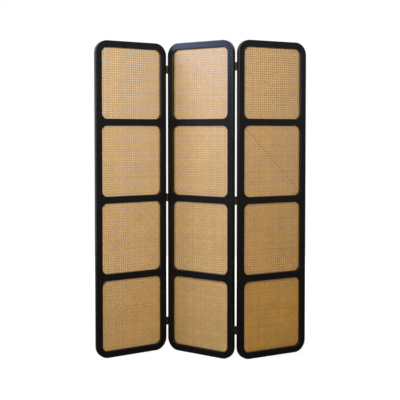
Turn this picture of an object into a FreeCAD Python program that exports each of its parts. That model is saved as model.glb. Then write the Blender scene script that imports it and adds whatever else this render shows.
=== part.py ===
import FreeCAD, Part
import math
import os

import Sketcher

# Folding room divider: three cane-filled panels joined by two rows of butt hinges.
# It stands in a zig-zag on its bottom rails. X runs along the divider, the viewed side faces -Y,
# Z is up, and the origin is on the floor under the middle of the whole divider.

# Driving dimensions, in millimetres and degrees
SIZES = {
    # panel frame
    "panel_height": 1700,
    "panel_width": 425,
    "panel_thickness": 25,
    "stile_width": 35,
    "rail_width": 36,
    "outer_corner_radius": 68,
    "window_corner_radius": 32,
    "edge_round": 2.5,
    "housing_depth": 4,
    # cane and the bead that holds it
    "cane_recess": 15,
    "cane_thickness": 2,
    "cane_clearance": 0.5,
    "rebate_width": 6,
    "bead_setback": 1,
    "bead_round": 2,
    "bead_clearance": 0.2,
    # dowels between rails and stiles
    "dowel_diameter": 6,
    "dowel_spacing": 22,
    "dowel_in_stile": 10,
    "dowel_in_rail": 16,
    "dowel_clearance": 0.05,
    "hole_end_gap": 0.5,
    # butt hinges
    "hinge_length": 45,
    "hinge_from_top": 141,
    "hinge_from_bottom": 158,
    "knuckle_diameter": 6,
    "knuckle_clearance": 0.3,
    "axis_proud": 1.5,
    "leaf_thickness": 1.6,
    "leaf_edge_margin": 5,
    "leaf_corner_radius": 2.5,
    "pin_diameter": 3,
    "pin_clearance": 0.05,
    "pin_tip_length": 1,
    "pin_tip_diameter": 1.8,
    # countersunk hinge screws
    "screw_diameter": 3.5,
    "screw_head_diameter": 6.5,
    "screw_length": 14,
    "screw_point": 4,
    "screw_spacing": 26,
    "screw_slot_width": 0.9,
    "screw_slot_length": 4,
    "screw_slot_depth": 0.8,
    "screw_clearance": 0.1,
    # standing angles of the panels, measured from the line of the divider
    "left_angle": 31.9,
    "centre_angle": 34,
    "right_angle": 27.3,
}

doc = FreeCAD.newDocument("RoomDivider")
sheet = doc.addObject("Spreadsheet::Sheet", "Sizes")
for row, (alias, value) in enumerate(SIZES.items(), start=1):
    sheet.set(f"A{row}", alias)
    sheet.set(f"B{row}", str(value))
    sheet.setAlias(f"B{row}", alias)
doc.recompute()

RAILS = ("bottom", "lower", "middle", "upper", "top")
WINDOWS = ("bottom", "lower", "upper", "top")
SIDES = ("left", "right")
KNUCKLES = 5
OUTER_KNUCKLES = (0, 2, 4)
CENTRE_KNUCKLES = (1, 3)

# Sizes that several pieces share, written in terms of the sheet
WINDOW_STEP = "( panel_height - rail_width ) / 4"
WINDOW_WIDTH = "panel_width - 2 * stile_width"
WINDOW_HEIGHT = "( panel_height - 5 * rail_width ) / 4"
HINGE_HEIGHTS = {
    "top": "panel_height - hinge_from_top",
    "middle": "panel_height / 2",
    "bottom": "hinge_from_bottom",
}

X_AXIS = FreeCAD.Vector(1, 0, 0)
Y_AXIS = FreeCAD.Vector(0, 1, 0)
Z_AXIS = FreeCAD.Vector(0, 0, 1)
ALONG_X = FreeCAD.Rotation(Y_AXIS, 90)


def size(expression):
    """The value of one driving dimension, or of an expression of several."""
    return float(sheet.evalExpression(expression))


def bind(piece, **expressions):
    """Tie properties of a piece to the sheet. The words x, y and z stand for its position."""
    for name, expression in expressions.items():
        if name in ("x", "y", "z"):
            name = f"Placement.Base.{name}"
        tied = [f"Sizes.{word}" if word in SIZES else word for word in expression.split()]
        piece.setExpression(name, " ".join(tied))
    return piece


def solid(kind, name, rotation=None, **expressions):
    """A box, cylinder or cone whose sizes and position follow the sheet."""
    piece = doc.addObject(f"Part::{kind}", name)
    if rotation:
        piece.Placement.Rotation = rotation
    return bind(piece, **expressions)


def boolean(kind, name, base, tool):
    """A Cut or Common of two pieces."""
    piece = doc.addObject(f"Part::{kind}", name)
    piece.Base = base
    piece.Tool = tool
    return piece


def fused(name, pieces):
    """Several pieces made into one solid."""
    piece = doc.addObject("Part::MultiFuse", name)
    piece.Shapes = pieces
    return piece


def group(name, pieces, placement=FreeCAD.Placement()):
    """Pieces kept as separate solids side by side, placed together."""
    piece = doc.addObject("Part::Compound", name)
    piece.Links = pieces
    piece.Placement = placement
    return piece


def edges_rounded(name, base, alias, wanted):
    """A piece with its wanted edges rounded to one radius of the sheet."""
    doc.recompute()
    piece = doc.addObject("Part::Fillet", name)
    piece.Base = base
    radius = size(alias)
    piece.Edges = [(n, radius, radius) for n, edge in enumerate(base.Shape.Edges, start=1) if wanted(edge)]
    return piece


def on_plane(edge, y):
    """True for an edge that lies in the upright plane at this depth."""
    return all(abs(edge.valueAt(at).y - y) < 1e-6 for at in (edge.FirstParameter, edge.LastParameter))


def rounded_plate(name, width, height, radius, thickness, x, y, z, rotation=None):
    """An upright plate with four rounded corners: a constrained sketch in the XZ plane, padded to +Y."""
    body = doc.addObject("PartDesign::Body", name)
    sketch = body.newObject("Sketcher::SketchObject", f"{name}_outline")
    plane = next(feature for feature in body.Origin.OriginFeatures if feature.Role == "XZ_Plane")
    sketch.AttachmentSupport = (plane, "")
    sketch.MapMode = "FlatFace"

    # A unit drawing of four sides and four corner arcs, which the constraints bring to size
    reach = 100
    arc = reach / 4
    low, high = arc, reach - arc
    side_ends = (
        ((low, 0), (high, 0)),
        ((reach, low), (reach, high)),
        ((high, reach), (low, reach)),
        ((0, high), (0, low)),
    )
    corner_centres = ((high, low), (high, high), (low, high), (low, low))
    sides = []
    corners = []
    for quarter in range(4):
        start, end = (FreeCAD.Vector(*point, 0) for point in side_ends[quarter])
        sides.append(sketch.addGeometry(Part.LineSegment(start, end)))
    for quarter in range(4):
        circle = Part.Circle(FreeCAD.Vector(*corner_centres[quarter], 0), Z_AXIS, arc)
        from_angle = (quarter - 1) * math.pi / 2
        corners.append(sketch.addGeometry(Part.ArcOfCircle(circle, from_angle, from_angle + math.pi / 2)))

    def constrain(*words):
        return sketch.addConstraint(Sketcher.Constraint(*words))

    start_point, end_point, x_line, y_line = 1, 2, -1, -2
    for quarter in range(4):
        next_side = sides[(quarter + 1) % 4]
        constrain("Tangent", sides[quarter], end_point, corners[quarter], start_point)
        constrain("Tangent", corners[quarter], end_point, next_side, start_point)
        constrain("Horizontal" if quarter % 2 == 0 else "Vertical", sides[quarter])
    for corner in corners[1:]:
        constrain("Equal", corners[0], corner)
    constrain("PointOnObject", sides[0], start_point, x_line)
    constrain("PointOnObject", sides[3], start_point, y_line)
    sized = {
        constrain("DistanceX", sides[3], start_point, sides[1], start_point, reach): ("wide", width),
        constrain("DistanceY", sides[0], start_point, sides[2], start_point, reach): ("tall", height),
        constrain("Radius", corners[0], arc): ("round", radius),
    }
    for index, (word, expression) in sized.items():
        sketch.renameConstraint(index, word)
        bind(sketch, **{f"Constraints.{word}": expression})

    pad = body.newObject("PartDesign::Pad", f"{name}_pad")
    pad.Profile = sketch
    pad.Reversed = True
    bind(pad, Length=thickness)
    if rotation:
        body.Placement.Rotation = rotation
    return bind(body, x=x, y=y, z=z)


def window_plate(name, index, grow, thickness, y):
    """A plate in the shape of one window, grown on every side."""
    return rounded_plate(
        name,
        width=f"{WINDOW_WIDTH} + 2 * ( {grow} )",
        height=f"{WINDOW_HEIGHT} + 2 * ( {grow} )",
        radius=f"window_corner_radius + {grow}",
        thickness=thickness,
        x=f"stile_width - ( {grow} )",
        y=y,
        z=f"rail_width + {index} * {WINDOW_STEP} - ( {grow} )",
    )


# One panel in its own frame: X from its left edge, Y from its front face to its back, Z from the floor.
# The frame is shaped as a whole, as a glued-up frame is routed, and then parted into its members.

# Outline, windows cut right through, and a wider rebate behind each for the cane and its bead
outline = rounded_plate(
    "outline", "panel_width", "panel_height", "outer_corner_radius", "panel_thickness", "0", "0", "0"
)
window_cuts = []
rebate_cuts = []
for index, name in enumerate(WINDOWS):
    through = "3 * panel_thickness"
    window_cuts.append(window_plate(f"{name}_window", index, "0", through, "- panel_thickness"))
    rebate_cuts.append(window_plate(f"{name}_rebate", index, "rebate_width", through, "cane_recess"))
openings = fused("openings", window_cuts + rebate_cuts)
square_frame = boolean("Cut", "square_frame", outline, openings)


def seen_edge(edge):
    """Every edge of the front face, and the outer edge of the back face."""
    if on_plane(edge, 0):
        return True
    bounds = edge.BoundBox
    x_inset = min(bounds.XMin, size("panel_width") - bounds.XMax)
    z_inset = min(bounds.ZMin, size("panel_height") - bounds.ZMax)
    return on_plane(edge, size("panel_thickness")) and min(x_inset, z_inset) < size("edge_round")


rounded_frame = edges_rounded("rounded_frame", square_frame, "edge_round", seen_edge)

# Dowels cross the joints in the solid wood ahead of the rebate. The three inner rails have two at
# each end; the top and bottom rails have one, half way between the outer corner and the window.
JOINT_LINE = "stile_width - housing_depth"
DOWEL_START = f"( {JOINT_LINE} - dowel_in_stile )"
DOWEL_END = f"( {JOINT_LINE} + dowel_in_rail )"
CORNER_HEIGHT = (
    "( outer_corner_radius - sqrt( outer_corner_radius ^ 2"
    f" - ( outer_corner_radius - {DOWEL_START} ) ^ 2 ) )"
)
WINDOW_CORNER_HEIGHT = (
    "( rail_width + window_corner_radius - sqrt( window_corner_radius ^ 2"
    f" - ( stile_width + window_corner_radius - {DOWEL_END} ) ^ 2 ) )"
)
END_DOWEL_HEIGHT = f"( {CORNER_HEIGHT} + {WINDOW_CORNER_HEIGHT} ) / 2"
dowel_heights = [END_DOWEL_HEIGHT, f"panel_height - {END_DOWEL_HEIGHT}"]
for index in (1, 2, 3):
    for offset in ("- dowel_spacing / 2", "+ dowel_spacing / 2"):
        dowel_heights.append(f"rail_width / 2 + {index} * {WINDOW_STEP} {offset}")

dowels = []
dowel_holes = []
for number, height in enumerate(dowel_heights):
    for side in SIDES:
        start = DOWEL_START if side == "left" else f"panel_width - {DOWEL_END}"
        place = {"y": "cane_recess / 2", "z": height, "rotation": ALONG_X}
        dowels.append(solid(
            "Cylinder", f"{side}_dowel_{number}",
            Radius="dowel_diameter / 2", Height="dowel_in_stile + dowel_in_rail", x=start, **place,
        ))
        dowel_holes.append(solid(
            "Cylinder", f"{side}_dowel_hole_{number}",
            Radius="dowel_diameter / 2 + dowel_clearance",
            Height="dowel_in_stile + dowel_in_rail + 2 * hole_end_gap", x=f"{start} - hole_end_gap", **place,
        ))
frame = boolean("Cut", "frame", rounded_frame, group("dowel_holes", dowel_holes))

# Rails run between the stiles and are let a little way into them, so their flared ends keep a full edge
rail_blanks = []
rails = {}
for index, name in enumerate(RAILS):
    blank = solid(
        "Box", f"{name}_rail_blank",
        Length=f"{WINDOW_WIDTH} + 2 * housing_depth", Width="3 * panel_thickness",
        Height="rail_width + 2 * window_corner_radius",
        x=JOINT_LINE, y="- panel_thickness", z=f"{index} * {WINDOW_STEP} - window_corner_radius",
    )
    rail_blanks.append(blank)
    rails[name] = boolean("Common", f"{name}_rail", frame, blank)
housings = group("housings", rail_blanks)

# Stiles run the full height; those that carry hinges are drilled for the leaf screws
plain_stiles = {}
hinged_stiles = {}
for side in SIDES:
    blank = solid(
        "Box", f"{side}_stile_blank",
        Length="2 * stile_width", Width="3 * panel_thickness", Height="panel_height + 2 * rail_width",
        x="- stile_width" if side == "left" else "panel_width - stile_width",
        y="- panel_thickness", z="- rail_width",
    )
    board = boolean("Common", f"{side}_stile_board", frame, blank)
    plain_stiles[side] = boolean("Cut", f"{side}_stile_plain", board, housings)
    holes = []
    for place, height in HINGE_HEIGHTS.items():
        for way in ("-", "+"):
            holes.append(solid(
                "Cylinder", f"{side}_{place}_screw_hole_{len(holes)}", rotation=ALONG_X,
                Radius="screw_diameter / 2 + screw_clearance", Height="screw_length + hole_end_gap",
                x="- leaf_thickness" if side == "left" else
                "panel_width + leaf_thickness - screw_length - hole_end_gap",
                y="panel_thickness / 2", z=f"{height} {way} screw_spacing / 2",
            ))
    hinged_stiles[side] = boolean(
        "Cut", f"{side}_stile_hinged", plain_stiles[side], group(f"{side}_screw_holes", holes)
    )

# Cane sheets lie against the shelf of each rebate, with a bead ring filling the rebate behind them
cane_sheets = {}
beads = []
bead_back = size("panel_thickness - bead_setback")
for index, name in enumerate(WINDOWS):
    cane_sheets[name] = window_plate(
        f"{name}_cane", index, "rebate_width - cane_clearance", "cane_thickness", "cane_recess"
    )
    bead_plate = window_plate(
        f"{name}_bead_plate", index, "rebate_width - bead_clearance",
        "panel_thickness - cane_recess - cane_thickness - bead_setback", "cane_recess + cane_thickness",
    )
    ring = boolean("Cut", f"{name}_bead_ring", bead_plate, window_cuts[index])
    beads.append(edges_rounded(f"{name}_bead", ring, "bead_round", lambda edge: on_plane(edge, bead_back)))

# Hinge pieces, about the pin: pin along Z, the panel's edge towards -X and its far face towards +Y
KNUCKLE_RADIUS = "knuckle_diameter / 2"
KNUCKLE_STEP = f"hinge_length / {KNUCKLES}"
LEAF_START = f"{KNUCKLE_RADIUS} + knuckle_clearance"
LEAF_FACE = f"leaf_thickness - {KNUCKLE_RADIUS}"
SCREW_LINE = "axis_proud + panel_thickness / 2"
COUNTERSINK = "( screw_head_diameter - screw_diameter ) / 2"

pin = fused("pin", [
    solid("Cylinder", "pin_shank", Radius="pin_diameter / 2", Height="hinge_length", z="- hinge_length / 2"),
    solid(
        "Cone", "pin_top", Radius1="pin_diameter / 2", Radius2="pin_tip_diameter / 2",
        Height="pin_tip_length", z="hinge_length / 2",
    ),
    solid(
        "Cone", "pin_foot", Radius1="pin_tip_diameter / 2", Radius2="pin_diameter / 2",
        Height="pin_tip_length", z="- hinge_length / 2 - pin_tip_length",
    ),
])


def hinge_leaf(name, knuckles):
    """A flat leaf with its share of the knuckles rolled round the pin, and countersunk screw holes."""
    pieces = [rounded_plate(
        f"{name}_plate", rotation=FreeCAD.Rotation(Z_AXIS, 90),
        width=f"axis_proud + panel_thickness - leaf_edge_margin - ( {LEAF_START} )",
        height="hinge_length", radius="leaf_corner_radius", thickness="leaf_thickness",
        x=LEAF_FACE, y=LEAF_START, z="- hinge_length / 2",
    )]
    for knuckle in knuckles:
        span = {
            "Height": f"{KNUCKLE_STEP} - knuckle_clearance",
            "z": f"{knuckle} * {KNUCKLE_STEP} - hinge_length / 2 + knuckle_clearance / 2",
        }
        pieces.append(solid("Cylinder", f"{name}_knuckle_{knuckle}", Radius=KNUCKLE_RADIUS, **span))
        pieces.append(solid(
            "Box", f"{name}_wrap_{knuckle}", x=f"- {KNUCKLE_RADIUS}", y="0",
            Length="leaf_thickness", Width=f"{LEAF_START} + leaf_corner_radius", **span,
        ))
    cuts = [solid(
        "Cylinder", f"{name}_bore", Radius="pin_diameter / 2 + pin_clearance",
        Height="2 * hinge_length", z="- hinge_length",
    )]
    for number, way in enumerate(("-", "+")):
        place = {"y": SCREW_LINE, "z": f"{way} screw_spacing / 2", "rotation": ALONG_X}
        cuts.append(solid(
            "Cylinder", f"{name}_screw_hole_{number}", Radius="screw_diameter / 2 + screw_clearance",
            Height="2 * leaf_thickness", x=f"{LEAF_FACE} - 2 * leaf_thickness", **place,
        ))
        cuts.append(solid(
            "Cone", f"{name}_countersink_{number}", Radius1="screw_diameter / 2 + screw_clearance",
            Radius2="screw_head_diameter / 2 + screw_clearance", Height=COUNTERSINK,
            x=f"{LEAF_FACE} - {COUNTERSINK}", **place,
        ))
    return boolean("Cut", name, fused(f"{name}_blank", pieces), fused(f"{name}_cuts", cuts))


outer_leaf = hinge_leaf("outer_leaf", OUTER_KNUCKLES)
centre_leaf = hinge_leaf("centre_leaf", CENTRE_KNUCKLES)

# Screw along Z with its head at the top: countersunk head with a cross slot, shank and point
screw_blank = fused("screw_blank", [
    solid(
        "Cone", "screw_head", Radius1="screw_diameter / 2", Radius2="screw_head_diameter / 2",
        Height=COUNTERSINK, z=f"- {COUNTERSINK}",
    ),
    solid(
        "Cylinder", "screw_shank", Radius="screw_diameter / 2",
        Height=f"screw_length - screw_point - {COUNTERSINK}", z="screw_point - screw_length",
    ),
    solid(
        "Cone", "screw_tip", Radius1="0", Radius2="screw_diameter / 2", Height="screw_point",
        z="- screw_length",
    ),
])
slots = []
for turn in ("along", "across"):
    long_way, short_way = ("Length", "Width") if turn == "along" else ("Width", "Length")
    long_start, short_start = ("x", "y") if turn == "along" else ("y", "x")
    slots.append(solid("Box", f"screw_slot_{turn}", **{
        long_way: "screw_slot_length", long_start: "- screw_slot_length / 2",
        short_way: "screw_slot_width", short_start: "- screw_slot_width / 2",
        "Height": "2 * screw_slot_depth", "z": "- screw_slot_depth",
    }))
screw = boolean("Cut", "screw", screw_blank, fused("screw_slots", slots))

# Where each panel stands: the panels share the two pin lines, and the whole is centred on the origin.
# The left fold's pins stand ahead of the front faces, the right fold's behind the back faces.
axis_gap = size("knuckle_diameter") / 2
right_edge = size("panel_width") + axis_gap
front_axis = -size("axis_proud")
back_axis = size("panel_thickness") + size("axis_proud")
fold_axes = {
    ("left", "left"): FreeCAD.Vector(right_edge, front_axis, 0),
    ("left", "centre"): FreeCAD.Vector(-axis_gap, front_axis, 0),
    ("right", "centre"): FreeCAD.Vector(right_edge, back_axis, 0),
    ("right", "right"): FreeCAD.Vector(-axis_gap, back_axis, 0),
}
turns = {
    "left": FreeCAD.Rotation(Z_AXIS, size("left_angle")),
    "centre": FreeCAD.Rotation(Z_AXIS, -size("centre_angle")),
    "right": FreeCAD.Rotation(Z_AXIS, size("right_angle")),
}
corners = {"centre": FreeCAD.Vector()}
for panel in SIDES:
    shared = turns["centre"].multVec(fold_axes[panel, "centre"])
    corners[panel] = shared - turns[panel].multVec(fold_axes[panel, panel])

edge_round = size("edge_round")
edge_centres = []
for panel, corner in corners.items():
    for x in (edge_round, size("panel_width") - edge_round):
        for y in (edge_round, size("panel_thickness") - edge_round):
            edge_centres.append(corner + turns[panel].multVec(FreeCAD.Vector(x, y, 0)))
middle = FreeCAD.Vector(
    (min(point.x for point in edge_centres) + max(point.x for point in edge_centres)) / 2,
    (min(point.y for point in edge_centres) + max(point.y for point in edge_centres)) / 2,
    0,
)
stands = {panel: FreeCAD.Placement(corner - middle, turns[panel]) for panel, corner in corners.items()}

# Which way a leaf is turned, in its panel's own frame, to lie on that panel's edge
leaf_turns = {
    ("left", "left"): FreeCAD.Rotation(),
    ("left", "centre"): FreeCAD.Rotation(Y_AXIS, 180),
    ("right", "centre"): FreeCAD.Rotation(X_AXIS, 180),
    ("right", "right"): FreeCAD.Rotation(Z_AXIS, 180),
}
hinge_heights = {place: size(height) for place, height in HINGE_HEIGHTS.items()}

# The finished pieces of the divider, each in its place
nodes = []
for panel, stand in stands.items():
    hinged = {"left": ("right",), "centre": SIDES, "right": ("left",)}[panel]
    for side in SIDES:
        stile = hinged_stiles[side] if side in hinged else plain_stiles[side]
        nodes.append(group(f"{panel}_panel_{side}_stile", [stile], stand))
    for name, rail in rails.items():
        nodes.append(group(f"{panel}_panel_{name}_rail", [rail], stand))
    for name, cane in cane_sheets.items():
        nodes.append(group(f"{panel}_panel_{name}_cane", [cane], stand))
    nodes.append(group(f"{panel}_panel_cane_beads", beads, stand))
    nodes.append(group(f"{panel}_panel_dowels", dowels, stand))

screw_seats = []
for way in (-1, 1):
    seat = FreeCAD.Vector(
        size("leaf_thickness") - axis_gap,
        size("axis_proud") + size("panel_thickness") / 2,
        way * size("screw_spacing") / 2,
    )
    screw_seats.append(FreeCAD.Placement(seat, ALONG_X))

panel_screws = {panel: [] for panel in stands}
for (fold, panel), turn in leaf_turns.items():
    leaf = centre_leaf if panel == "centre" else outer_leaf
    for place, height in hinge_heights.items():
        on_panel = FreeCAD.Placement(fold_axes[fold, panel] + Z_AXIS * height, turn)
        seated = stands[panel].multiply(on_panel)
        leaf_name = "centre_leaf" if panel == "centre" else "outer_leaf"
        nodes.append(group(f"{fold}_fold_{place}_{leaf_name}", [leaf], seated))
        for number, seat in enumerate(screw_seats):
            name = f"{fold}_fold_{place}_{leaf_name}_screw_{number}"
            panel_screws[panel].append(group(name, [screw], seated.multiply(seat)))
for panel, screws in panel_screws.items():
    nodes.append(group(f"{panel}_panel_hinge_screws", screws))

for fold in SIDES:
    pins = []
    for place, height in hinge_heights.items():
        on_panel = FreeCAD.Placement(fold_axes[fold, "centre"] + Z_AXIS * height, FreeCAD.Rotation())
        pins.append(group(f"{fold}_fold_{place}_pin", [pin], stands["centre"].multiply(on_panel)))
    nodes.append(group(f"{fold}_fold_pins", pins))

doc.recompute()

# Nothing is written unless every object is sound
for piece in doc.Objects:
    if "Invalid" in piece.State or "Error" in piece.State:
        raise RuntimeError(f"{piece.Name} failed: {piece.State}")
for node in nodes:
    if node.Shape.isNull() or not node.Shape.isValid() or not node.Shape.Solids:
        raise RuntimeError(f"{node.Label} has no sound solid")

os.makedirs("parts", exist_ok=True)
for node in nodes:
    node.Shape.exportStep(f"parts/{node.Label}.step")

# The pin lines and the fold angles from the standing pose, for the record of moving parts
for fold in SIDES:
    line = stands["centre"].multVec(fold_axes[fold, "centre"])
    bent = size("centre_angle") + size(f"{fold}_angle")
    print(f"{fold} fold: pin line x {line.x:.4f} y {line.y:.4f}, range {-bent:.2f} to {180 - bent:.2f}")
print(len(nodes), "nodes")
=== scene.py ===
"""A three-fold room divider: black lacquered frames with windows of woven cane, on brass hinges."""

import math

import bpy
from mathutils import Matrix, Vector


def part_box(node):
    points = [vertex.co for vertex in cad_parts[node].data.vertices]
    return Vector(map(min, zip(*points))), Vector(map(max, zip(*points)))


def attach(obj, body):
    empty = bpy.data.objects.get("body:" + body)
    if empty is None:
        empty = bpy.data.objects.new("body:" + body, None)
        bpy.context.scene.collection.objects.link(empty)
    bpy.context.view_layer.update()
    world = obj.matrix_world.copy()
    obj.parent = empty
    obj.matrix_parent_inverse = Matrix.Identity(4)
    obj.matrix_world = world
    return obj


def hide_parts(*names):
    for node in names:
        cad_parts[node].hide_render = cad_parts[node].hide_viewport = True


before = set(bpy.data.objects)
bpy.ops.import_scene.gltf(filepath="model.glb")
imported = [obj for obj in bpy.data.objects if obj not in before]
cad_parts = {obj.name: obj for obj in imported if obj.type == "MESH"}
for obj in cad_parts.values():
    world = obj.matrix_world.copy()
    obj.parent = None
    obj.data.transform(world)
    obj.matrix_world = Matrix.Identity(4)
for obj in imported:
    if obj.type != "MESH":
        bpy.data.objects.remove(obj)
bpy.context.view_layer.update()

# Panel frames. Two stiles and five rails to a panel, in close-grained hardwood. The rails are let into
# the stiles and glued up on dowels, the edges are rounded over, and black satin lacquer is sprayed on.
PANELS = ("left", "centre", "right")
STILES = ("left_stile", "right_stile")
RAILS = ("bottom_rail", "lower_rail", "middle_rail", "upper_rail", "top_rail")
MM = 0.001


def linear(hex_colour):
    """An sRGB hex colour as linear red, green, blue and alpha."""
    levels = [int(hex_colour[i:i + 2], 16) / 255 for i in (1, 3, 5)]
    return [c / 12.92 if c <= 0.04045 else ((c + 0.055) / 1.055) ** 2.4 for c in levels] + [1.0]


def add_node(tree, kind, inputs=None, **settings):
    """Adds a node with its settings, and each input as a value or a link; gives its first output."""
    node = tree.nodes.new(kind)
    for name, value in settings.items():
        setattr(node, name, value)
    for key, value in (inputs or {}).items():
        if isinstance(value, bpy.types.NodeSocket):
            tree.links.new(value, node.inputs[key])
        else:
            node.inputs[key].default_value = value
    return node.outputs[0] if node.outputs else None


def new_material(name):
    """An empty node material and its tree."""
    material = bpy.data.materials.new(name)
    material.use_nodes = True
    material.node_tree.nodes.clear()
    return material, material.node_tree


def clothe(node_name, material):
    """Gives a CAD node's object the material in every slot."""
    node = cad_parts[node_name]
    for slot in node.material_slots:
        slot.material = material


def panel_across(panel):
    """The level direction along a panel's width, read off the flat face of its top cane sheet."""
    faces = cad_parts[f"{panel}_panel_top_cane"].data.polygons
    normal = max(faces, key=lambda face: face.area).normal
    forward = normal if normal.y < 0 else -normal
    return Vector((-forward.y, forward.x, 0)).normalized()


def black_lacquer(name, turn):
    """Satin black lacquer, sprayed over filled hardwood: a near-black film with a soft gloss, through
    which the grain still shows as faint furrows. The grain runs along the piece's own length."""
    furrow_width, furrow_length = 1.6 * MM, 70 * MM
    orange_peel = 2.2 * MM
    material, tree = new_material(name)
    place = add_node(tree, "ShaderNodeTexCoord").node.outputs["Object"]
    along_piece = add_node(tree, "ShaderNodeMapping", {"Vector": place, "Rotation": turn})
    stretched = add_node(tree, "ShaderNodeMapping", {
        "Vector": along_piece,
        "Scale": (1 / furrow_width, 1 / furrow_width, 1 / furrow_length),
    })
    furrows = add_node(tree, "ShaderNodeTexNoise", {"Vector": stretched, "Scale": 1.0, "Detail": 3.0})
    peel = add_node(tree, "ShaderNodeTexNoise", {
        "Vector": place, "Scale": 1 / orange_peel, "Detail": 1.0})
    colour = add_node(tree, "ShaderNodeValToRGB", {"Fac": furrows}).node
    colour.color_ramp.elements[0].position = 0.35
    colour.color_ramp.elements[0].color = linear("#0a0808")
    colour.color_ramp.elements[1].position = 0.70
    colour.color_ramp.elements[1].color = linear("#120f0e")
    gloss = add_node(tree, "ShaderNodeMapRange", {
        "Value": furrows, "From Min": 0.3, "From Max": 0.7, "To Min": 0.26, "To Max": 0.34})
    relief = add_node(tree, "ShaderNodeMath", {0: furrows, 1: peel}, operation="ADD")
    bump = add_node(tree, "ShaderNodeBump", {
        "Height": relief, "Strength": 0.12, "Distance": 0.3 * MM})
    surface = add_node(tree, "ShaderNodeBsdfPrincipled", {
        "Base Color": colour.outputs["Color"], "Roughness": gloss, "Normal": bump,
        "IOR": 1.5, "Specular IOR Level": 0.32})
    add_node(tree, "ShaderNodeOutputMaterial", {"Surface": surface})
    return material


stile_lacquer = black_lacquer("black_lacquer_upright_grain", (0, 0, 0))
quarter_turn = math.radians(90)
for panel in PANELS:
    across = panel_across(panel)
    rail_lacquer = black_lacquer(
        f"black_lacquer_level_grain_{panel}", (0, quarter_turn, math.atan2(-across.y, across.x)))
    for piece in STILES:
        clothe(f"{panel}_panel_{piece}", stile_lacquer)
    for piece in RAILS:
        clothe(f"{panel}_panel_{piece}", rail_lacquer)

# Dowels. Plain beech pins, turned to size and cut to length. Each is glued half into a rail's end and
# half into the stile, so none shows once the frame is closed.
beech, tree = new_material("turned_beech")  # Bare pinkish-tan wood, matt, with short darker flecks.
fleck_size = 1.2 * MM
place = add_node(tree, "ShaderNodeTexCoord").node.outputs["Object"]
fleck = add_node(tree, "ShaderNodeTexNoise", {"Vector": place, "Scale": 1 / fleck_size, "Detail": 2.0})
tone = add_node(tree, "ShaderNodeValToRGB", {"Fac": fleck}).node
tone.color_ramp.elements[0].color = linear("#c39a6a")
tone.color_ramp.elements[1].color = linear("#dcb98c")
surface = add_node(tree, "ShaderNodeBsdfPrincipled", {
    "Base Color": tone.outputs["Color"], "Roughness": 0.6})
add_node(tree, "ShaderNodeOutputMaterial", {"Surface": surface})
for panel in PANELS:
    clothe(f"{panel}_panel_dowels", beech)

# Cane. Strands of peeled rattan woven six ways: pairs of uprights, pairs of cross strands, and a diagonal
# each way, which leave small eyes half an inch apart. Each window has its own sheet, cut to the rebate,
# laid in it from behind and held by its bead.
CANE_WINDOWS = ("bottom_cane", "lower_cane", "upper_cane", "top_cane")
EYE_PITCH = 12.65 * MM
STRAND_GAP, STRAND_THICKNESS = 0.3 * MM, 0.6 * MM
STRAND_WANDER = 0.15 * MM
SHEET_CORNER_RADIUS = 37.5 * MM
# The strands are drawn about twice as wide as real ones, and the weave is closer in the lower windows, so
# that the eyes stay small and the cane keeps its colour against the white ground.
STRAND_WIDTHS = {"left": 4.65 * MM, "centre": 4.8 * MM, "right": 4.95 * MM}
CLOSER_WEAVES = {
    "bottom_cane": 0.55 * MM, "lower_cane": 0.15 * MM, "upper_cane": -0.1 * MM, "top_cane": -0.3 * MM}
DIAGONAL_WIDTH = 3.6 * MM
# How far strands bow to either side of the sheet's middle, and how much of each step from crossing to
# crossing a diagonal lies level.
SQUARE_BOW, DIAGONAL_BOW = 0.53 * STRAND_THICKNESS, 1.12 * STRAND_THICKNESS
DIAGONAL_LEVEL = 0.68
# Each weave sits a little to one side of its window, so that its last eyes fall against the bead.
SHEET_SLIDES = {"left": 4.2 * MM, "centre": -4.2 * MM, "right": 4.2 * MM}
# One diagonal has gone brown: its sheet, its layer, and its count from the middle.
STAINED_STRANDS = {"right_panel_upper_cane": ("falling", 0)}
# The brown and honey of each panel's cane, and how much painted light pales it at the foot and at the top.
CANE_TONES = {
    "left": ("#b88635", "#ecb95c", 0.13, 0.53),
    "centre": ("#b28538", "#e2b35a", 0.16, 0.24),
    "right": ("#b37b19", "#e7ab32", 0.07, 0.45),
}


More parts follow.
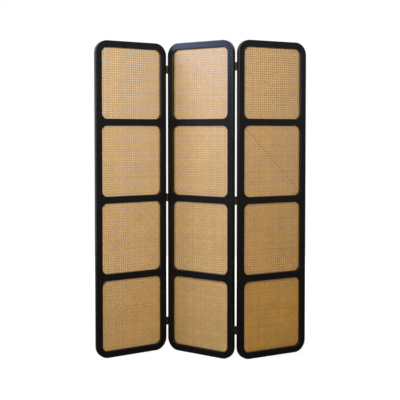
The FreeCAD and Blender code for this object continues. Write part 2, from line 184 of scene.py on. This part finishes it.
def cane_layer():
    """Geometry nodes that add one layer of parallel strands to a sheet that stands centred on its own
    middle. Strands run up Z and bow to and fro in Y from crossing to crossing. Then the layer turns about
    Y and slides along X."""
    tree = bpy.data.node_groups.new("cane_layer", "GeometryNodeTree")
    sockets = {
        "Woven": "Geometry", "Strands": "Int", "Strand step": "Float", "Strand spread": "Float",
        "Crossings": "Int", "Crossing step": "Float", "Crossing spread": "Float",
        "Points to a bow": "Int", "Bow": "Float", "Turn": "Float", "Wander": "Float",
        "Strand width": "Float", "Strand thickness": "Float", "Sheet width": "Float",
        "Sheet height": "Float", "Corner radius": "Float", "Slide": "Float", "Stained strand": "Int",
        "Seed": "Int", "Cane": "Material",
    }
    for name, kind in sockets.items():
        tree.interface.new_socket(name, in_out="INPUT", socket_type=f"NodeSocket{kind}")
    tree.interface.new_socket("Woven", in_out="OUTPUT", socket_type="NodeSocketGeometry")
    given = add_node(tree, "NodeGroupInput").node.outputs

    # As many lines as there are strands, with two points at each crossing.
    rows = add_node(tree, "GeometryNodeMeshLine", {"Count": given["Strands"], "Offset": (0, 0, 0)})
    points = add_node(tree, "ShaderNodeMath", {0: given["Crossings"], 1: 2.0}, operation="MULTIPLY")
    line = add_node(tree, "GeometryNodeResampleCurve", {
        "Curve": add_node(tree, "GeometryNodeCurvePrimitiveLine"), "Count": points})
    lines = add_node(tree, "GeometryNodeInstanceOnPoints", {"Points": rows, "Instance": line})
    lines = add_node(tree, "GeometryNodeRealizeInstances", {"Geometry": lines})
    number = add_node(tree, "GeometryNodeCurveOfPoint").node.outputs

    # Strands and crossings both come in twos: a step from two to two, and a spread within the two.
    places = []
    for count, own, step, spread in (
        (given["Strands"], number["Curve Index"], given["Strand step"], given["Strand spread"]),
        (points, number["Index in Curve"], given["Crossing step"], given["Crossing spread"]),
    ):
        half_step = add_node(tree, "ShaderNodeMath", {0: step, 1: 0.5}, operation="MULTIPLY")
        second = add_node(tree, "ShaderNodeMath", {0: own, 1: 2.0}, operation="MODULO")
        first = add_node(tree, "ShaderNodeMath", {0: own, 1: second}, operation="SUBTRACT")
        twos = add_node(tree, "ShaderNodeMath", {0: count, 1: 2.0}, operation="SUBTRACT")
        reach = add_node(tree, "ShaderNodeMath", {
            0: twos, 1: half_step, 2: spread}, operation="MULTIPLY_ADD")
        within = add_node(tree, "ShaderNodeMath", {
            0: second, 1: spread, 2: add_node(tree, "ShaderNodeMath", {
                0: reach, 1: -0.5}, operation="MULTIPLY")}, operation="MULTIPLY_ADD")
        places.append(add_node(tree, "ShaderNodeMath", {
            0: first, 1: half_step, 2: within}, operation="MULTIPLY_ADD"))
    across, along = places
    drift = add_node(tree, "FunctionNodeRandomValue", {
        "Min": -1.0, "Max": 1.0, "ID": number["Curve Index"], "Seed": given["Seed"]}).node.outputs[1]
    across = add_node(tree, "ShaderNodeMath", {
        0: drift, 1: given["Wander"], 2: across}, operation="MULTIPLY_ADD")
    bows = add_node(tree, "ShaderNodeMath", {
        0: number["Index in Curve"], 1: given["Points to a bow"]}, operation="DIVIDE")
    bows = add_node(tree, "ShaderNodeMath", {0: bows}, operation="FLOOR")
    side = add_node(tree, "ShaderNodeMath", {0: bows, 1: number["Curve Index"]}, operation="ADD")
    side = add_node(tree, "ShaderNodeMath", {0: side, 1: math.pi}, operation="MULTIPLY")
    side = add_node(tree, "ShaderNodeMath", {0: side}, operation="COSINE")
    depth = add_node(tree, "ShaderNodeMath", {0: side, 1: given["Bow"]}, operation="MULTIPLY")
    lines = add_node(tree, "GeometryNodeSetPosition", {
        "Geometry": lines,
        "Position": add_node(tree, "ShaderNodeCombineXYZ", {0: across, 1: depth, 2: along})})

    # Every strand has its own tone from 0 to 1, on other seeds than the wander; a stained one is below 0.
    other_seeds, stain = 500.0, -1.5
    tone = add_node(tree, "FunctionNodeRandomValue", {
        "ID": number["Curve Index"],
        "Seed": add_node(tree, "ShaderNodeMath", {0: given["Seed"], 1: other_seeds}, operation="ADD"),
    }).node.outputs[1]
    stained = add_node(tree, "ShaderNodeMath", {
        0: number["Curve Index"], 1: given["Stained strand"], 2: 0.1}, operation="COMPARE")
    tone = add_node(tree, "ShaderNodeMath", {0: stained, 1: stain, 2: tone}, operation="MULTIPLY_ADD")
    lines = add_node(tree, "GeometryNodeStoreNamedAttribute", {
        "Geometry": lines, "Name": "strand_tone", "Value": tone}, data_type="FLOAT", domain="POINT")

    # What lies outside the sheet's rounded outline is cut off, and so are ends too short to hold.
    spot = add_node(tree, "ShaderNodeVectorRotate", {
        "Vector": add_node(tree, "GeometryNodeInputPosition"), "Angle": given["Turn"],
    }, rotation_type="Y_AXIS")
    slide = add_node(tree, "ShaderNodeCombineXYZ", {0: given["Slide"]})
    spot = add_node(tree, "ShaderNodeVectorMath", {0: spot, 1: slide}, operation="ADD")
    spot = add_node(tree, "ShaderNodeVectorMath", {0: spot}, operation="ABSOLUTE")
    size = add_node(tree, "ShaderNodeCombineXYZ", {
        0: given["Sheet width"], 1: 1.0, 2: given["Sheet height"]})
    radius = given["Corner radius"]
    straight = add_node(tree, "ShaderNodeVectorMath", {
        0: size, 1: (0.5, 0.5, 0.5),
        2: add_node(tree, "ShaderNodeVectorMath", {
            0: add_node(tree, "ShaderNodeCombineXYZ", {0: radius, 1: radius, 2: radius}),
            1: (-1, -1, -1)}, operation="MULTIPLY")}, operation="MULTIPLY_ADD")
    spot = add_node(tree, "ShaderNodeVectorMath", {0: spot, 1: straight}, operation="SUBTRACT")
    spot = add_node(tree, "ShaderNodeVectorMath", {0: spot, 1: (0, 0, 0)}, operation="MAXIMUM")
    past = add_node(tree, "ShaderNodeVectorMath", {0: spot}, operation="LENGTH").node.outputs["Value"]
    outside = add_node(tree, "ShaderNodeMath", {0: past, 1: radius}, operation="GREATER_THAN")
    lines = add_node(tree, "GeometryNodeDeleteGeometry", {
        "Geometry": lines, "Selection": outside}, domain="POINT")
    fewest_points = 3.0
    held = add_node(tree, "GeometryNodeSplineLength").node.outputs["Point Count"]
    short = add_node(tree, "ShaderNodeMath", {0: held, 1: fewest_points}, operation="LESS_THAN")
    lines = add_node(tree, "GeometryNodeDeleteGeometry", {
        "Geometry": lines, "Selection": short}, domain="CURVE")

    # Each line is swept with a five-sided section, flat on one side and ridged on the other, whose corners
    # know how near the strand's edge they lie, for the shade that the material paints there.
    section_sides, section_radius = 5, 0.54
    outline = add_node(tree, "GeometryNodeCurvePrimitiveCircle", {
        "Resolution": section_sides, "Radius": section_radius})
    sideways = add_node(tree, "ShaderNodeSeparateXYZ", {
        0: add_node(tree, "GeometryNodeInputPosition")}).node.outputs["Y"]
    sideways = add_node(tree, "ShaderNodeMath", {0: sideways}, operation="ABSOLUTE")
    outline = add_node(tree, "GeometryNodeStoreNamedAttribute", {
        "Geometry": outline, "Name": "edge",
        "Value": add_node(tree, "ShaderNodeMath", {0: sideways, 1: section_radius}, operation="DIVIDE"),
    }, data_type="FLOAT", domain="POINT")
    section = add_node(tree, "GeometryNodeTransform", {
        "Geometry": outline,
        "Scale": add_node(tree, "ShaderNodeCombineXYZ", {
            0: given["Strand thickness"], 1: given["Strand width"], 2: 1.0})})
    lines = add_node(tree, "GeometryNodeSetCurveNormal", {
        "Curve": lines, "Normal": (0, -1, 0)}, mode="FREE")
    layer = add_node(tree, "GeometryNodeCurveToMesh", {
        "Curve": lines, "Profile Curve": section, "Fill Caps": True})
    layer = add_node(tree, "GeometryNodeStoreNamedAttribute", {
        "Geometry": layer, "Name": "fibre", "Value": add_node(tree, "GeometryNodeInputPosition"),
    }, data_type="FLOAT_VECTOR", domain="POINT")
    layer = add_node(tree, "GeometryNodeTransform", {
        "Geometry": layer, "Translation": slide,
        "Rotation": add_node(tree, "ShaderNodeCombineXYZ", {1: given["Turn"]})})

    # Smooth along the strand, with crisp edges.
    sharpest_smooth = math.radians(30)
    layer = add_node(tree, "GeometryNodeSetShadeSmooth", {"Geometry": layer})
    angle = add_node(tree, "GeometryNodeInputMeshEdgeAngle")
    crisp = add_node(tree, "ShaderNodeMath", {0: angle, 1: sharpest_smooth}, operation="GREATER_THAN")
    layer = add_node(tree, "GeometryNodeSetShadeSmooth", {
        "Geometry": layer, "Selection": crisp, "Shade Smooth": False}, domain="EDGE")
    woven = add_node(tree, "GeometryNodeJoinGeometry", {"Geometry": layer})
    tree.links.new(given["Woven"], woven.node.inputs["Geometry"])
    woven = add_node(tree, "GeometryNodeRealizeInstances", {"Geometry": woven})
    woven = add_node(tree, "GeometryNodeSetMaterial", {"Geometry": woven, "Material": given["Cane"]})
    add_node(tree, "NodeGroupOutput", {"Woven": woven})
    return tree


def peeled_rattan(name, brown, honey, painted_light_foot, painted_light_top):
    """Peeled rattan: straw to honey, its fibres drawn out along each strand under a hard smooth skin,
    and strand from strand a little paler or browner. Painted light makes it paler higher up, for the
    light and sheen that fall most on the upper windows."""
    fibre_width, fibre_length = 0.8 * MM, 45 * MM
    patch = 130 * MM
    streak_share, strand_share, patch_share = 0.4, 0.5, 0.25
    foot_height, top_height = 0.2, 1.7
    material, tree = new_material(name)
    fibre = add_node(tree, "ShaderNodeAttribute", attribute_name="fibre").node.outputs["Vector"]
    tone = add_node(tree, "ShaderNodeAttribute", attribute_name="strand_tone").node.outputs["Fac"]
    edge = add_node(tree, "ShaderNodeAttribute", attribute_name="edge").node.outputs["Fac"]
    place = add_node(tree, "ShaderNodeTexCoord").node.outputs["Object"]
    drawn_out = add_node(tree, "ShaderNodeMapping", {
        "Vector": fibre, "Scale": (1 / fibre_width, 1 / fibre_width, 1 / fibre_length)})
    streaks = add_node(tree, "ShaderNodeTexNoise", {"Vector": drawn_out, "Scale": 1.0, "Detail": 3.0})
    patches = add_node(tree, "ShaderNodeTexNoise", {
        "Vector": place, "Scale": 1 / patch, "Detail": 2.0})
    mixed = add_node(tree, "ShaderNodeMath", {0: streaks, 1: streak_share}, operation="MULTIPLY")
    mixed = add_node(tree, "ShaderNodeMath", {
        0: tone, 1: strand_share, 2: mixed}, operation="MULTIPLY_ADD")
    mixed = add_node(tree, "ShaderNodeMath", {
        0: patches, 1: patch_share, 2: mixed}, operation="MULTIPLY_ADD")
    colour = add_node(tree, "ShaderNodeValToRGB", {"Fac": mixed}).node
    ramp = colour.color_ramp
    ramp.elements[0].position = 0.25
    ramp.elements[0].color = linear(brown)
    ramp.elements[1].position = 0.85
    ramp.elements[1].color = linear(honey)
    ramp.elements.new(0.0).color = linear("#6e4c1e")  # Only stained strands come down to this brown.
    # Painted light: higher up, the colour is mixed more toward pale cream; stained strands are left out.
    height = add_node(tree, "ShaderNodeSeparateXYZ", {0: place}).node.outputs["Z"]
    painted_paleness = add_node(tree, "ShaderNodeMapRange", {
        "Value": height, "From Min": foot_height, "From Max": top_height,
        "To Min": painted_light_foot, "To Max": painted_light_top})
    unstained = add_node(tree, "ShaderNodeMapRange", {"Value": tone, "From Min": -0.5, "From Max": 0.0})
    painted_paleness = add_node(tree, "ShaderNodeMath", {0: painted_paleness, 1: unstained}, operation="MULTIPLY")
    colour = add_node(tree, "ShaderNodeMix", {
        "Factor": painted_paleness, 6: colour.outputs["Color"], 7: linear("#e6cba6")}, data_type="RGBA")
    # Painted shade: the colour darkens where each strand's edges turn under, parting it from the next.
    shade = add_node(tree, "ShaderNodeMapRange", {
        "Value": edge, "From Min": 0.55, "From Max": 0.95, "To Min": 1.0, "To Max": 0.5})
    colour = add_node(tree, "ShaderNodeVectorMath", {
        0: colour.node.outputs[2], "Scale": shade}, operation="SCALE")
    gloss = add_node(tree, "ShaderNodeMapRange", {
        "Value": streaks, "From Min": 0.3, "From Max": 0.7, "To Min": 0.32, "To Max": 0.45})
    bump = add_node(tree, "ShaderNodeBump", {
        "Height": streaks, "Strength": 0.35, "Distance": 0.15 * MM})
    surface = add_node(tree, "ShaderNodeBsdfPrincipled", {
        "Base Color": colour, "Roughness": gloss, "Normal": bump, "IOR": 1.5,
        "Specular IOR Level": 1.0})
    add_node(tree, "ShaderNodeOutputMaterial", {"Surface": surface})
    return material


def pairs_across(extent, strand_width):
    """How many pairs of strands, always odd so that one pair lies on the middle, fit across a sheet."""
    pair_width = 2 * strand_width + STRAND_GAP
    return 2 * int((extent - pair_width) / 2 / EYE_PITCH) + 1


def next_fourth(number):
    """The next multiple of four, which starts every diagonal on the same side of the uprights."""
    return 4 * math.ceil(number / 4)


layer_tree = cane_layer()
layer_inputs = {item.name: item.identifier for item in layer_tree.interface.items_tree
                if item.in_out == "INPUT"}
diagonal_step = EYE_PITCH / math.sqrt(2)
upward = Vector((0, 0, 1))
for panel_number, panel in enumerate(PANELS):
    rattan = peeled_rattan(f"peeled_rattan_{panel}", *CANE_TONES[panel])
    across = panel_across(panel)
    inward = Vector((-across.y, across.x, 0))
    for window_number, window in enumerate(CANE_WINDOWS):
        sheet_node = f"{panel}_panel_{window}"
        strand_width = STRAND_WIDTHS[panel] + CLOSER_WEAVES[window]
        low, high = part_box(sheet_node)
        middle = (low + high) / 2
        spread = [(corner.co - middle).dot(across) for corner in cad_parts[sheet_node].data.vertices]
        sheet_width, sheet_height = max(spread) - min(spread), high.z - low.z
        uprights = pairs_across(sheet_width, strand_width)
        crossers = pairs_across(sheet_height, strand_width)
        diagonals = next_fourth((sheet_width + sheet_height) / EYE_PITCH)
        square_layer = {
            "Strand step": EYE_PITCH, "Strand spread": strand_width + STRAND_GAP,
            "Crossing step": EYE_PITCH, "Crossing spread": strand_width + STRAND_GAP,
            "Points to a bow": 1, "Bow": SQUARE_BOW, "Strand width": strand_width,
        }
        slant_layer = {
            "Strands": diagonals, "Strand step": 2 * diagonal_step, "Strand spread": diagonal_step,
            "Crossings": diagonals, "Crossing step": diagonal_step,
            "Crossing spread": DIAGONAL_LEVEL * diagonal_step,
            "Points to a bow": 2, "Bow": DIAGONAL_BOW, "Strand width": DIAGONAL_WIDTH,
        }
        layers = {
            "uprights": {**square_layer, "Strands": 2 * uprights, "Crossings": crossers, "Turn": 0.0},
            "crossers": {**square_layer, "Strands": 2 * crossers, "Crossings": uprights,
                         "Turn": math.radians(90)},
            "rising": {**slant_layer, "Turn": math.radians(45)},
            "falling": {**slant_layer, "Turn": math.radians(-45)},
        }
        stained_layer, from_middle = STAINED_STRANDS.get(sheet_node, (None, 0))
        loom = bpy.data.objects.new("cane_loom", bpy.data.meshes.new("cane_loom"))
        bpy.context.scene.collection.objects.link(loom)
        for layer_number, (layer_name, sizes) in enumerate(layers.items()):
            modifier = loom.modifiers.new(layer_name, "NODES")
            modifier.node_group = layer_tree
            sizes.update({
                "Wander": STRAND_WANDER, "Strand thickness": STRAND_THICKNESS,
                "Sheet width": sheet_width, "Sheet height": sheet_height,
                "Corner radius": SHEET_CORNER_RADIUS, "Slide": SHEET_SLIDES[panel], "Cane": rattan,
                "Stained strand": diagonals // 2 + from_middle if layer_name == stained_layer else -1,
                "Seed": 100 * panel_number + 10 * window_number + layer_number,
            })
            for name, value in sizes.items():
                modifier[layer_inputs[name]] = value
        graph = bpy.context.evaluated_depsgraph_get()
        sheet_mesh = bpy.data.meshes.new_from_object(
            loom.evaluated_get(graph), preserve_all_data_layers=True, depsgraph=graph)
        bpy.data.objects.remove(loom)
        sheet_mesh.transform(Matrix.Translation(middle)
                             @ Matrix((across, inward, upward)).transposed().to_4x4())
        sheet = bpy.data.objects.new(f"{sheet_node}_weave", sheet_mesh)
        bpy.context.scene.collection.objects.link(sheet)
        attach(sheet, f"{panel}_panel")
        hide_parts(sheet_node)

# Cane beads. Thin hardwood rings, one to a window, bent to its rounded corners. They are pressed into
# the rebates behind the cane to hold it, and lacquered with the frame.
for panel in PANELS:
    clothe(f"{panel}_panel_cane_beads", stile_lacquer)

# Hinges. Pressed brass butt hinges, three to each fold, chemically aged to a brown olive and waxed,
# with countersunk brass screws and steel pins; the knuckles stand proud of the wood.
FOLDS = ("left", "right")
LEAVES = ("outer_leaf", "centre_leaf")
HINGE_PLACES = ("bottom", "middle", "top")


def aged_metal(name, dark, light, roughness):
    """Aged metal: the brown tarnish lies in soft blotches, rubbed places show the metal brighter, and
    fine pits break up its shine."""
    blotch, pit = 5 * MM, 0.6 * MM
    material, tree = new_material(name)
    place = add_node(tree, "ShaderNodeTexCoord").node.outputs["Object"]
    blotches = add_node(tree, "ShaderNodeTexNoise", {"Vector": place, "Scale": 1 / blotch, "Detail": 4.0})
    pits = add_node(tree, "ShaderNodeTexNoise", {"Vector": place, "Scale": 1 / pit, "Detail": 2.0})
    colour = add_node(tree, "ShaderNodeValToRGB", {"Fac": blotches}).node
    colour.color_ramp.elements[0].position = 0.35
    colour.color_ramp.elements[0].color = linear(dark)
    colour.color_ramp.elements[1].position = 0.68
    colour.color_ramp.elements[1].color = linear(light)
    gloss = add_node(tree, "ShaderNodeMapRange", {
        "Value": blotches, "To Min": roughness + 0.12, "To Max": roughness - 0.08})
    bump = add_node(tree, "ShaderNodeBump", {
        "Height": pits, "Strength": 0.15, "Distance": 0.1 * MM})
    surface = add_node(tree, "ShaderNodeBsdfPrincipled", {
        "Base Color": colour.outputs["Color"], "Roughness": gloss, "Normal": bump, "Metallic": 1.0})
    add_node(tree, "ShaderNodeOutputMaterial", {"Surface": surface})
    return material


antique_brass = aged_metal("antique_brass", "#403c2d", "#6e6751", 0.48)
pin_steel = aged_metal("browned_steel", "#4a4540", "#77716a", 0.38)
for fold in FOLDS:
    for hinge_place in HINGE_PLACES:
        for leaf in LEAVES:
            clothe(f"{fold}_fold_{hinge_place}_{leaf}", antique_brass)
    clothe(f"{fold}_fold_pins", pin_steel)
for panel in PANELS:
    clothe(f"{panel}_panel_hinge_screws", antique_brass)

# Stage. A white studio floor that carries the screen's soft shadow, and white all round to the eye.
# The room itself is dim, so that the lacquer stays black: it mirrors white only from behind and above.
FLOOR_SIZE = 7.0
floor_mesh = bpy.data.meshes.new("studio_floor")
half = FLOOR_SIZE / 2
floor_mesh.from_pydata(
    [(-half, -half, 0), (half, -half, 0), (half, half, 0), (-half, half, 0)], [], [(0, 1, 2, 3)])
floor = bpy.data.objects.new("studio_floor", floor_mesh)
bpy.context.scene.collection.objects.link(floor)
# The floor is white to the eye, a little less so near the screen, where the shadow falls. In
# reflections it is dim.
white_floor, tree = new_material("white_floor")
rays = add_node(tree, "ShaderNodeLightPath").node.outputs
seen = add_node(tree, "ShaderNodeMath", {
    0: rays["Is Camera Ray"], 1: rays["Is Transmission Ray"]}, operation="MAXIMUM")
place = add_node(tree, "ShaderNodeTexCoord").node.outputs["Object"]
away = add_node(tree, "ShaderNodeVectorMath", {0: place}, operation="LENGTH").node.outputs["Value"]
paleness = add_node(tree, "ShaderNodeMapRange", {
    "Value": away, "From Min": 0.9, "From Max": 3.0, "To Min": 0.82, "To Max": 0.97})
own_white = add_node(tree, "ShaderNodeMath", {0: seen, 1: paleness}, operation="MULTIPLY")
own_white = add_node(tree, "ShaderNodeMath", {
    0: rays["Is Glossy Ray"], 1: 0.05, 2: own_white}, operation="MULTIPLY_ADD")
floor_colour = add_node(tree, "ShaderNodeMix", {
    "Factor": rays["Is Glossy Ray"], 6: linear("#aaa49b"), 7: linear("#4a4642")}, data_type="RGBA")
lit = add_node(tree, "ShaderNodeBsdfDiffuse", {"Color": floor_colour.node.outputs[2]})
glow = add_node(tree, "ShaderNodeEmission", {"Color": linear("#ffffff"), "Strength": own_white})
surface = add_node(tree, "ShaderNodeAddShader", {0: lit, 1: glow})
add_node(tree, "ShaderNodeOutputMaterial", {"Surface": surface})
floor_mesh.materials.append(white_floor)

# The room is plain white to the eye, and gives little light of its own.
world = bpy.data.worlds.new("studio")
bpy.context.scene.world = world
world.use_nodes = True
tree = world.node_tree
tree.nodes.clear()
rays = add_node(tree, "ShaderNodeLightPath").node.outputs
facing = add_node(tree, "ShaderNodeVectorMath", {
    0: add_node(tree, "ShaderNodeTexCoord").node.outputs["Generated"], 1: (0, 0.5, 1.0),
}, operation="DOT_PRODUCT").node.outputs["Value"]
behind = add_node(tree, "ShaderNodeMapRange", {
    "Value": facing, "From Min": -0.4, "From Max": 0.4, "To Min": 0.06, "To Max": 1.0})
mirrored = add_node(tree, "ShaderNodeMath", {
    0: rays["Is Glossy Ray"], 1: rays["Is Transmission Ray"]}, operation="MAXIMUM")
mirrored = add_node(tree, "ShaderNodeMath", {0: mirrored, 1: behind}, operation="MULTIPLY")
seen = add_node(tree, "ShaderNodeMath", {0: mirrored, 1: rays["Is Camera Ray"]}, operation="MAXIMUM")
surround = add_node(tree, "ShaderNodeBackground", {"Color": linear("#ffffff"), "Strength": 0.1})
backdrop = add_node(tree, "ShaderNodeBackground", {"Color": linear("#ffffff"), "Strength": 1.0})
background = add_node(tree, "ShaderNodeMixShader", {0: seen, 1: surround, 2: backdrop})
add_node(tree, "ShaderNodeOutputWorld", {"Surface": background})

# Lights. A large warm lamp in front, just over head height, a cool window high on the left that glances
# off the centre panel's lacquer, and a soft lamp behind that lights the backs of the panels.
LAMPS = {  # Where it stands, where it aims, width and height in metres, watts, colour.
    "front_light": ((-0.3, -2.6, 1.9), (-0.1, 0.0, 0.9), (1.4, 1.2), 66.0, "#fffaf0"),
    "window_light": ((-3.12, -0.95, 2.7), (0.0, 0.0, 1.5), (0.6, 1.3), 72.0, "#b2c6ff"),
    "back_light": ((0.5, 3.2, 2.3), (0.0, 0.0, 0.9), (1.4, 1.2), 80.0, "#fffaf0"),
}
for name, (stand, aim, (width, height), power, colour) in LAMPS.items():
    lamp = bpy.data.lights.new(name, "AREA")
    lamp.shape = "RECTANGLE"
    lamp.size = width
    lamp.size_y = height
    lamp.energy = power
    lamp.color = linear(colour)[:3]
    lamp_object = bpy.data.objects.new(name, lamp)
    lamp_object.visible_camera = False
    lamp_object.location = stand
    lamp_object.rotation_euler = (Vector(aim) - Vector(stand)).to_track_quat("-Z", "Y").to_euler()
    bpy.context.scene.collection.objects.link(lamp_object)
# The lamp behind lights the backs, but makes no glints in the window corners.
bpy.data.objects["back_light"].visible_glossy = False

# Camera. It stands at chest height, square to the row and some four metres off. It looks down a little,
# and the lens is dropped for the rest: the screen comes to the middle, its uprights very nearly upright.
CAMERA_PLACE = (-0.011, -4.348, 1.212)
LOOK_DOWN = math.radians(2.0)
camera = bpy.data.cameras.new("photo_camera")
camera.sensor_width = 36.0
camera.lens = 72.2
camera.shift_y = -0.0993
camera_object = bpy.data.objects.new("photo_camera", camera)
camera_object.location = CAMERA_PLACE
camera_object.rotation_euler = (math.radians(90) - LOOK_DOWN, 0, 0)
bpy.context.scene.collection.objects.link(camera_object)
bpy.context.scene.camera = camera_object
bpy.context.scene.view_settings.view_transform = "Standard"
